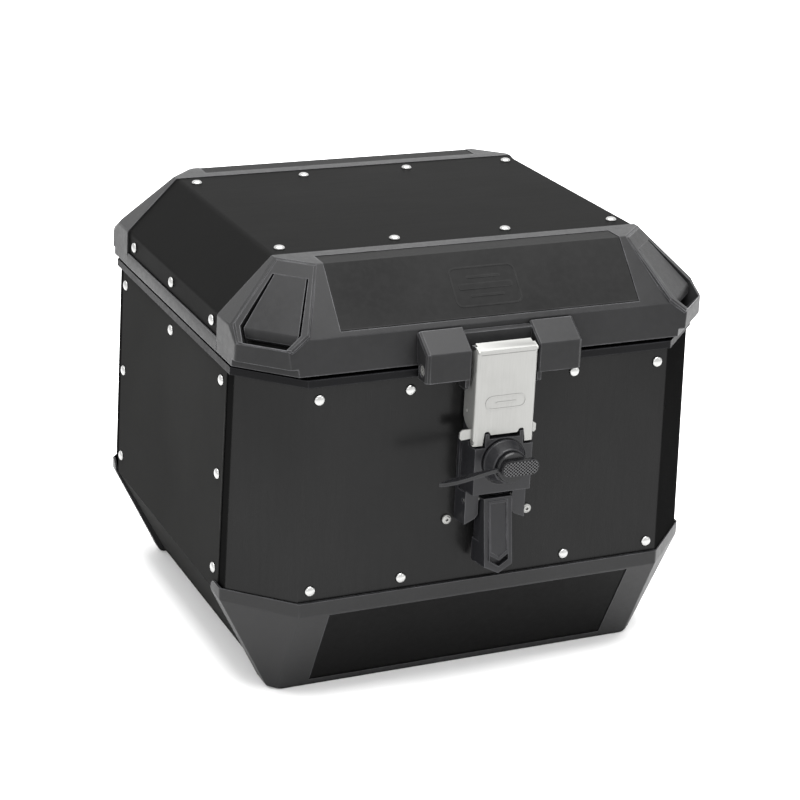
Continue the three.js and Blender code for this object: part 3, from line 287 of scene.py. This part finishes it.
# Painted light and shade: the front/rear and side sheets are one anodised aluminium, given different colour, metallic
# and roughness so each face shows its own brightness under these lamps.
M["body_sheet"] = coated_sheet("body_aluminium_light_matched", (0.0128, 0.0128, 0.0128), rough=(0.22, 0.30), spec=0.0, metallic=0.70, grain_dir=(1, 1, 0.06), edge_lift=0.12)
M["side_sheet"] = coated_sheet("side_aluminium_light_matched", (0.0180, 0.0180, 0.0177), rough=(0.32, 0.42), spec=0.0, metallic=0.20, grain_dir=(1, 1, 0.06), edge_lift=0.12)
M["plastic"] = plastic("black_plastic", (0.0085, 0.0085, 0.0088), rough=(0.37, 0.47), spec=0.122, edge_lift=0.9, edge_wear_and_highlight=(0.095, 0.095, 0.10))
M["rim"] = plastic("rim_plastic", (0.0024, 0.0024, 0.0027), rough=(0.40, 0.50), spec=0.055, edge_lift=0.6, edge_wear_and_highlight=(0.03, 0.03, 0.033))
M["guard"] = plastic("guard_plastic", (0.0078, 0.0078, 0.0080), rough=(0.42, 0.52), spec=0.16, edge_lift=0.8, edge_wear_and_highlight=(0.06, 0.06, 0.065))
M["guard_panel"] = plastic("guard_panel_plastic", (0.0012, 0.0012, 0.0012), rough=(0.46, 0.54), spec=0.040, grain=3600.0, grain_h=0.16, edge_lift=0.3, edge_wear_and_highlight=(0.03, 0.03, 0.03))
M["panel"] = plastic("panel_plastic", (0.0086, 0.0086, 0.0086), rough=(0.50, 0.60), spec=0.022, grain=3600.0, grain_h=0.16, edge_lift=0.4, edge_wear_and_highlight=(0.04, 0.04, 0.04))
M["lock"] = plastic("lock_plastic", (0.0065, 0.0065, 0.0073), rough=(0.28, 0.38), spec=0.19, grain=3200.0, grain_h=0.22, edge_lift=0.7, edge_wear_and_highlight=(0.075, 0.075, 0.08))
M["key"] = plastic("key_plastic", (0.0040, 0.0040, 0.0044), rough=(0.24, 0.34), spec=0.20, grain=3600.0, grain_h=0.12, edge_lift=0.25, edge_wear_and_highlight=(0.06, 0.06, 0.065),
                   detail=knurl(kc, 0.00985, 0.0060, kc.y + 0.0003))
M["rubber"] = plastic("seal_rubber", (0.003, 0.003, 0.003), rough=(0.7, 0.85), spec=0.10, grain=1800.0, edge_lift=0.0)
M["steel"] = metal("satin_steel", (0.225, 0.225, 0.217), rough=(0.32, 0.42), stretch=(1, 1, 0.03), scale=1500.0, brush=0.10, tint=(0.30, 0.30, 0.30), metallic=0.62)
M["rivet"] = metal("rivet_aluminium", (0.33, 0.33, 0.325), rough=(0.20, 0.32), scale=700.0, brush=0.12, tint=(0.45, 0.45, 0.45), tarnish=0.25)
M["zinc"] = metal("cast_zinc", (0.36, 0.36, 0.36), rough=(0.34, 0.5), scale=400.0)


def soften(o, width, segs=3, angle=24.0):
    """Merges the CAD facets into whole faces, rounds the edges and keeps the flats flat."""
    w = o.modifiers.new("weld", "WELD")
    w.merge_threshold = 2e-6
    if not o.name.startswith("body_"):
        d = o.modifiers.new("flats", "DECIMATE")
        d.decimate_type = "DISSOLVE"
        d.angle_limit = math.radians(0.8)
    b = o.modifiers.new("round", "BEVEL")
    b.width = width
    b.segments = segs
    b.limit_method = "ANGLE"
    b.angle_limit = math.radians(angle)
    b.use_clamp_overlap = True
    b.miter_outer = "MITER_ARC"
    n = o.modifiers.new("normals", "WEIGHTED_NORMAL")
    n.mode = "FACE_AREA"
    n.weight = 80
    n.keep_sharp = False
    for p in o.data.polygons:
        p.use_smooth = True
    return o


LOOK = {}
for n in nodes:
    if n.startswith("rivet"):
        LOOK[n] = ("rivet", 0.0002)
    elif n in ("lid_sheet",):
        LOOK[n] = ("lid_sheet", 0.0050)
    elif n == "body_side_sheet":
        LOOK[n] = ("side_sheet", 0.0004)
    elif n.startswith("body_"):
        LOOK[n] = ("body_sheet", 0.0004)
    elif n == "rim_frame":
        LOOK[n] = ("rim", 0.0008)
    elif n.startswith("lower_guard"):
        LOOK[n] = ("guard", 0.0010)
    elif n.startswith("lid_cap"):
        LOOK[n] = ("plastic", 0.0009)
    elif n == "latch_bracket":
        LOOK[n] = ("plastic", 0.0014)
    elif n.startswith("guard_panel"):
        LOOK[n] = ("guard_panel", 0.0006)
    elif n.startswith("lid_panel"):
        LOOK[n] = ("panel", 0.0003)
    elif n in ("rim_seal", "base_mat"):
        LOOK[n] = ("rubber", 0.0006)
    elif n.startswith(("lock_screw", "bracket_screw", "hinge_pin", "latch_pin", "lever_pin")) or n in ("latch_plate", "lock_cam"):
        LOOK[n] = ("steel", 0.00025)
    elif n in ("catch_bar", "lock_barrel", "base_catch", "lock_backing_plate"):
        LOOK[n] = ("zinc", 0.0005)
    elif n == "key":
        LOOK[n] = ("key", 0.0005)
    elif n in ("lock_block", "lock_collar", "release_lever"):
        LOOK[n] = ("lock", 0.0006)
    else:
        LOOK[n] = ("plastic", 0.0010)

# ------------------------------------------------------------------ rivet heads
def lathe_into(bm, prof, centre, out, segs=28):
    """Turns (radius, height) points round the axis out, based at centre."""
    out = Vector(out)
    q = Vector((0, 0, 1)).rotation_difference(out)
    rings = []
    for rad, h in prof:
        if rad < 1e-7:
            rings.append([bm.verts.new(Vector(centre) + out * h)])
        else:
            rings.append([bm.verts.new(Vector(centre) + q @ Vector((rad * math.cos(2 * math.pi * k / segs), rad * math.sin(2 * math.pi * k / segs), h))) for k in range(segs)])
    for a, c in zip(rings, rings[1:]):
        if len(a) == 1 and len(c) == 1:
            continue
        for k in range(segs):
            k2 = (k + 1) % segs
            if len(c) == 1:
                bm.faces.new((a[k], a[k2], c[0]))
            elif len(a) == 1:
                bm.faces.new((a[0], c[k2], c[k]))
            else:
                bm.faces.new((a[k], a[k2], c[k2], c[k]))


def widen(x, z):
    return x * (1 + 0.000143 * (192.0 - z))


DOME = [(2.1, -0.6), (4.5, -0.25), (4.62, 0.0), (4.62, 0.32), (4.5, 0.62)]
for k in range(1, 9):
    t = math.radians(20 + 70 * k / 8.0)
    DOME.append((4.75 * math.cos(t), 2.42 * math.sin(t) + 0.02))
DOME = DOME[:-1] + [(0.0, 2.44)]
ROWS = {}
STRIP = {}
for s_, n_ in ((-1, "front"), (1, "rear")):
    for z_, k_ in ((276.0, "top"), (109.5, "bottom")):
        ROWS["rivets_%s_%s" % (n_, k_)] = [((widen(x, z_), s_ * 199.8, z_), (0, s_, 0)) for x in (-155.2, -75.2, 75.2, 155.2)]
        d0, d1 = (191.0, 192.5) if k_ == "top" else (196.1, 197.6)
        STRIP["rivets_%s_%s" % (n_, k_)] = (-162, 162, min(s_ * d0, s_ * d1), max(s_ * d0, s_ * d1), z_ - 5, z_ + 5, 8.4 if k_ == "top" else 3.2)
    ROWS["rivets_lid_" + n_] = [((x, s_ * 103.7, 373.7), (0, 0, 1)) for x in (-153.3, -51.1, 51.1, 153.3)]
    STRIP["rivets_lid_" + n_] = (-159, 159, s_ * 103.7 - 6, s_ * 103.7 + 6, 367.3, 368.7, 6.0)
for s_, n_ in ((-1, "left"), (1, "right")):
    for sy, k_ in ((-1, "front"), (1, "rear")):
        ROWS["rivets_%s_%s" % (n_, k_)] = [((s_ * widen(213.5, z), sy * 129.8, z), (s_, 0, 0)) for z in (275.0, 193.4, 109.3)]
        STRIP["rivets_%s_%s" % (n_, k_)] = (min(s_ * 204.8, s_ * 206.3), max(s_ * 204.8, s_ * 206.3), sy * 129.8 - 6, sy * 129.8 + 6, 102, 282, 8.2)
    ROWS["rivet_%s_centre" % n_] = [((s_ * widen(213.5, 275.0), 0.0, 275.0), (s_, 0, 0))]
    STRIP["rivet_%s_centre" % n_] = (min(s_ * 204.8, s_ * 206.3), max(s_ * 204.8, s_ * 206.3), -7, 7, 268, 282, 8.2)
    ROWS["rivets_lid_" + n_] = [((s_ * 210.8, y, 318.0), (s_, 0, 0)) for y in (-104.5, 0.0, 104.5)]
    STRIP["rivets_lid_" + n_] = (min(s_ * 204.4, s_ * 205.8), max(s_ * 204.4, s_ * 205.8), -112, 112, 312.6, 323, 6.0)
for n, spots in ROWS.items():
    bm = bmesh.new()
    for c, out in spots:
        shank = STRIP[n][6]
        lathe_into(bm, [(a * MM, h * MM) for a, h in [(0.0, -shank), (2.1, -shank)] + DOME], Vector(c) * MM, out)
    for f in bm.faces:
        f.smooth = True
    x0, x1, y0, y1, z0, z1 = STRIP[n][:6]
    tap = (lambda x, z: x) if "lid" in n else widen
    v8 = [bm.verts.new(Vector((tap(x, z), y, z)) * MM) for x in (x0, x1) for y in (y0, y1) for z in (z0, z1)]
    for q in ((0, 1, 3, 2), (4, 6, 7, 5), (0, 4, 5, 1), (2, 3, 7, 6), (0, 2, 6, 4), (1, 5, 7, 3)):
        bm.faces.new([v8[k] for k in q])
    bmesh.ops.recalc_face_normals(bm, faces=bm.faces)
    me = bpy.data.meshes.new("heads_" + n)
    bm.to_mesh(me)
    bm.free()
    me.materials.append(M["rivet"])
    o = bpy.data.objects.new("heads_" + n, me)
    scene.collection.objects.link(o)
    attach(o, "lid" if "lid" in n else "case")
    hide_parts(n)

# ------------------------------------------------------------------ folded sheets
def fillet(pts, r, n=8):
    """Rounds the inner corners of an open 2-D line."""
    out = [pts[0]]
    for p, q, s in zip(pts, pts[1:], pts[2:]):
        q = Vector(q)
        a = (Vector(p) - q).normalized()
        c = (Vector(s) - q).normalized()
        half = a.angle(c) / 2.0
        d = r / math.tan(half)
        mid = q + (a + c).normalized() * (r / math.sin(half))
        u = q + a * d - mid
        w = q + c * d - mid
        for k in range(n + 1):
            t = k / n
            e = (u * (1 - t) + w * t).normalized() * r
            out.append(tuple(mid + e))
    out.append(pts[-1])
    return out


def folded(name, outer, inner, stations, place, material, body, node):
    """Bent sheet: the outer and inner outlines swept through the stations. place(u, v, s) gives a point in millimetres."""
    bm = bmesh.new()
    rings = [[bm.verts.new(Vector(place(u, v, s)) * MM) for u, v in list(outer) + list(inner)[::-1]] for s in stations]
    k = len(rings[0])
    for a, c in zip(rings, rings[1:]):
        for i in range(k):
            j = (i + 1) % k
            bm.faces.new((a[i], a[j], c[j], c[i]))
    h = len(outer)
    for ring in (rings[0], rings[-1]):
        for i in range(h - 1):
            bm.faces.new((ring[i], ring[i + 1], ring[k - 2 - i], ring[k - 1 - i]))
    bmesh.ops.recalc_face_normals(bm, faces=bm.faces)
    me = bpy.data.meshes.new(name)
    bm.to_mesh(me)
    bm.free()
    for p in me.polygons:
        p.use_smooth = True
    me.materials.append(M[material])
    o = bpy.data.objects.new(name, me)
    scene.collection.objects.link(o)
    b = o.modifiers.new("round", "BEVEL")
    b.width = 0.0003
    b.segments = 2
    b.limit_method = "ANGLE"
    b.angle_limit = math.radians(50)
    w = o.modifiers.new("normals", "WEIGHTED_NORMAL")
    w.mode = "FACE_AREA"
    w.weight = 60
    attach(o, body)
    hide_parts(node)
    return o


def arch(t, r_low, r_top):
    hx, top, total = 210.5 - t, 373.4 - t, 538.9 - t * math.sqrt(2.0)
    line = [(hx, 305.2), (hx, total - hx), (total - top, top), (-(total - top), top), (-hx, total - hx), (-hx, 305.2)]
    a = fillet(line[:4], r_low)[:10]
    bend = fillet(line[1:4], r_top)[1:-1]
    right = a + bend
    return right + [(-x, z) for x, z in right[::-1]]


folded("sheet_lid", arch(0.0, 5.0, 8.0), arch(1.5, 3.5, 6.5), (-121.2, 121.2), lambda u, v, s: (u, s, v),
       "lid_sheet", "lid", "lid_sheet")
for s_, n_ in ((-1, "front"), (1, "rear")):
    hx, hy = 211.4, 199.5
    c_ = hx - 165.2
    ci = c_ - 0.586 * 1.5
    hxi, hyi = hx - 1.5, hy - 1.5
    po = [(-hx, 108.0), (-hx, hy - c_), (-hx + c_, hy), (hx - c_, hy), (hx, hy - c_), (hx, 108.0)]
    pi_ = [(-hxi, 108.0), (-hxi, hyi - ci), (-hxi + ci, hyi), (hxi - ci, hyi), (hxi, hyi - ci), (hxi, 108.0)]
    folded("sheet_" + n_, fillet(po, 4.0), fillet(pi_, 2.5), (92.0, 287.2),
           lambda u, v, s, f=s_: (widen(u, s), f * v, s), "body_sheet", "case", "body_%s_sheet" % n_)

for n, o in nodes.items():
    mat, w = LOOK[n]
    o.data.materials.clear()
    o.data.materials.append(M[mat])
    soften(o, w)


# ------------------------------------------------------------------ camera
cam_d = bpy.data.cameras.new("camera")
cam = bpy.data.objects.new("camera", cam_d)
scene.collection.objects.link(cam)
scene.camera = cam
cam_d.sensor_width = 36.0
cam_d.lens = 100.85
cam_d.clip_start = 0.05
cam_d.clip_end = 60.0
cam_d.dof.use_dof = False
pos = Vector((-783.4, -1736.1, 903.0)) * MM
tgt = Vector((6.172, -2.815, 187.002)) * MM
fwd = (tgt - pos).normalized()
right = fwd.cross(Vector((0, 0, 1))).normalized()
up = right.cross(fwd)
r = math.radians(2.455)
right2 = right * math.cos(r) + up * math.sin(r)
up2 = up * math.cos(r) - right * math.sin(r)
rot = Matrix((right2, up2, -fwd)).transposed()
cam.matrix_world = Matrix.Translation(pos) @ rot.to_4x4()

# ------------------------------------------------------------------ floor and light
bm = bmesh.new()
bmesh.ops.create_grid(bm, x_segments=8, y_segments=8, size=12.0)
me = bpy.data.meshes.new("floor")
bm.to_mesh(me)
bm.free()
floor = bpy.data.objects.new("floor", me)
floor.location = (0, 0, -0.0004)
scene.collection.objects.link(floor)
fm, nt, b = new_mat("studio_floor")
v = coords(nt)
c = mixc(nt, remap(nt, noise(nt, v, 3.0, 3.0), 0.3, 0.7, 0.0, 1.0), (0.80, 0.80, 0.80), (0.83, 0.83, 0.83))
nt.links.new(c, b.inputs["Base Color"])
b.inputs["Roughness"].default_value = 0.85
b.inputs["Specular IOR Level"].default_value = 0.1
me.materials.append(fm)

world = bpy.data.worlds.new("studio")
scene.world = world
world.use_nodes = True
wn = world.node_tree
bg = wn.nodes["Background"]
bg.inputs["Color"].default_value = (1, 1, 1, 1)
bg.inputs["Strength"].default_value = 1.9


def area(name, loc, target, size, power, size_y=None):
    d = bpy.data.lights.new(name, "AREA")
    d.energy = power
    d.shape = "RECTANGLE"
    d.size = size
    d.size_y = size_y or size
    o = bpy.data.objects.new(name, d)
    scene.collection.objects.link(o)
    o.location = loc
    o.rotation_euler = (Vector(target) - Vector(loc)).to_track_quat("-Z", "Y").to_euler()
    return o


area("top_box", (0.0, -0.1, 2.4), (0, 0, 0.2), 2.0, 150.0)
area("front_left_box", (-1.9, -2.0, 1.5), (0, 0, 0.25), 1.0, 14.0)
area("right_box", (1.9, -2.2, 1.2), (0, 0, 0.25), 0.7, 5.0)
scene.view_settings.view_transform = "Standard"
scene.view_settings.look = "None"
